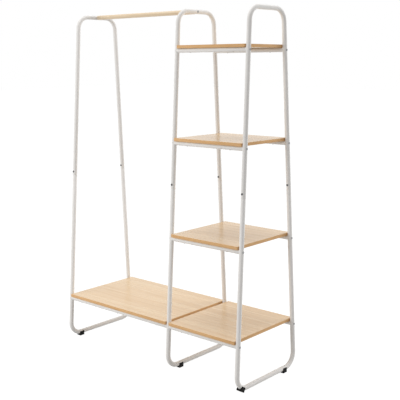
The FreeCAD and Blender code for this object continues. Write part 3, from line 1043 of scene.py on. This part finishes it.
def make_floor():
    """Large flat floor, shown to the camera as a glow with a shadow."""
    finish, tree, shader = new_finish("pale_floor")
    shader.inputs["Base Color"].default_value = (FLOOR_BOUNCE, FLOOR_BOUNCE, FLOOR_BOUNCE, 1.0)
    shader.inputs["Roughness"].default_value = FLOOR_ROUGHNESS
    shader.inputs["Specular IOR Level"].default_value = 0.0
    glow = tree.nodes.new("ShaderNodeEmission")
    glow.inputs["Strength"].default_value = FLOOR_GLOW
    lit = tree.nodes.new("ShaderNodeBsdfDiffuse")
    lit.inputs["Color"].default_value = (FLOOR_SHADE, FLOOR_SHADE, FLOOR_SHADE, 1.0)
    shown = tree.nodes.new("ShaderNodeAddShader")
    blend = tree.nodes.new("ShaderNodeMixShader")
    tree.links.new(glow.outputs["Emission"], shown.inputs[0])
    tree.links.new(lit.outputs["BSDF"], shown.inputs[1])
    tree.links.new(seen_directly(tree), blend.inputs["Fac"])
    tree.links.new(shader.outputs["BSDF"], blend.inputs[1])
    tree.links.new(shown.outputs["Shader"], blend.inputs[2])
    tree.links.new(blend.outputs["Shader"], tree.nodes["Material Output"].inputs["Surface"])
    mesh = bpy.data.meshes.new("floor")
    half = FLOOR_SIZE / 2
    corners = [(-half, -half, 0), (half, -half, 0), (half, half, 0), (-half, half, 0)]
    mesh.from_pydata(corners, [], [(0, 1, 2, 3)])
    mesh.materials.append(finish)
    floor = bpy.data.objects.new("floor", mesh)
    bpy.context.scene.collection.objects.link(floor)


make_floor()
print("floor:", FLOOR_SIZE, "m")

# %% [markdown]
# ## Sky and lamps
# Three large soft lamps and a plain white sky light the rack: the key at the front left, its twin at the
# rear right and a weaker one overhead. So each tube is bright along both edges and darker down its middle.
# The lamps are kept out of reflections, so the satin boards mirror only the plain white room from every
# side.

# %% Sky and lamps
SKY_STRENGTH = 0.53
RACK_MIDDLE = (0.0, 0.0, 0.8)
KEY_PLACE = (-1.58, -2.73, 1.36)
REAR_PLACE = (1.58, 2.73, 1.36)
SIDE_LAMP_SIZE = 1.6
SIDE_LAMP_WATTS = 40.0
TOP_PLACE = (0.0, 0.1, 3.6)
TOP_LAMP_SIZE = 2.0
TOP_LAMP_WATTS = 30.0


def make_sky():
    """White surroundings, dimmer as a light than as a background."""
    world = bpy.data.worlds.new("studio")
    bpy.context.scene.world = world
    world.use_nodes = True
    tree = world.node_tree
    sky = tree.nodes["Background"]
    sky.inputs["Strength"].default_value = SKY_STRENGTH
    sky.inputs["Color"].default_value = (*WHITE, 1.0)
    white = tree.nodes.new("ShaderNodeBackground")
    white.inputs["Color"].default_value = (*WHITE, 1.0)
    blend = tree.nodes.new("ShaderNodeMixShader")
    tree.links.new(seen_directly(tree), blend.inputs["Fac"])
    tree.links.new(sky.outputs["Background"], blend.inputs[1])
    tree.links.new(white.outputs["Background"], blend.inputs[2])
    tree.links.new(blend.outputs["Shader"], tree.nodes["World Output"].inputs["Surface"])


def add_lamp(name, place, target, size, watts):
    """Square soft lamp that looks at a target."""
    data = bpy.data.lights.new(name, "AREA")
    data.shape = "SQUARE"
    data.size = size
    data.energy = watts
    lamp = bpy.data.objects.new(name, data)
    lamp.location = place
    lamp.rotation_mode = "QUATERNION"
    lamp.rotation_quaternion = (Vector(target) - Vector(place)).to_track_quat("-Z", "Y")
    lamp.visible_camera = False
    lamp.visible_glossy = False
    bpy.context.scene.collection.objects.link(lamp)
    return lamp


make_sky()
lamps = [
    add_lamp("key", KEY_PLACE, RACK_MIDDLE, SIDE_LAMP_SIZE, SIDE_LAMP_WATTS),
    add_lamp("rear", REAR_PLACE, RACK_MIDDLE, SIDE_LAMP_SIZE, SIDE_LAMP_WATTS),
    add_lamp("top", TOP_PLACE, RACK_MIDDLE, TOP_LAMP_SIZE, TOP_LAMP_WATTS),
]
print("lamps:", {lamp.name: lamp.data.energy for lamp in lamps}, "W")

# %% [markdown]
# ## Camera
# The photograph was taken from the front right, a little below the top of the rack, with a longish lens.
# The place, the turn and the lens below were fitted to it, with the picture 400 pixels wide.

# %% Camera
IMAGE_PIXELS = 400
FOCAL_PIXELS = 782.1
SENSOR_WIDTH = 36.0
CAMERA_PLACE = (2.3113, -2.4677, 1.276)
CAMERA_YAW = 0.72035        # radians, turned left from looking along +Y
CAMERA_PITCH = 0.09031      # radians, looking down
CAMERA_ROLL = -0.0049
CAMERA_SHIFT = -0.1646      # vertical shift, as a share of the picture

camera_data = bpy.data.cameras.new("camera")
camera_data.sensor_width = SENSOR_WIDTH
camera_data.lens = FOCAL_PIXELS / IMAGE_PIXELS * SENSOR_WIDTH
camera_data.shift_y = CAMERA_SHIFT
camera = bpy.data.objects.new("camera", camera_data)
bpy.context.scene.collection.objects.link(camera)
turn = Matrix.Rotation(CAMERA_YAW, 4, "Z") @ Matrix.Rotation(math.pi / 2 - CAMERA_PITCH, 4, "X")
camera.matrix_world = Matrix.Translation(CAMERA_PLACE) @ turn @ Matrix.Rotation(CAMERA_ROLL, 4, "Z")
bpy.context.scene.camera = camera
bpy.context.scene.view_settings.view_transform = "Standard"
print("lens:", round(camera_data.lens, 2), "mm")
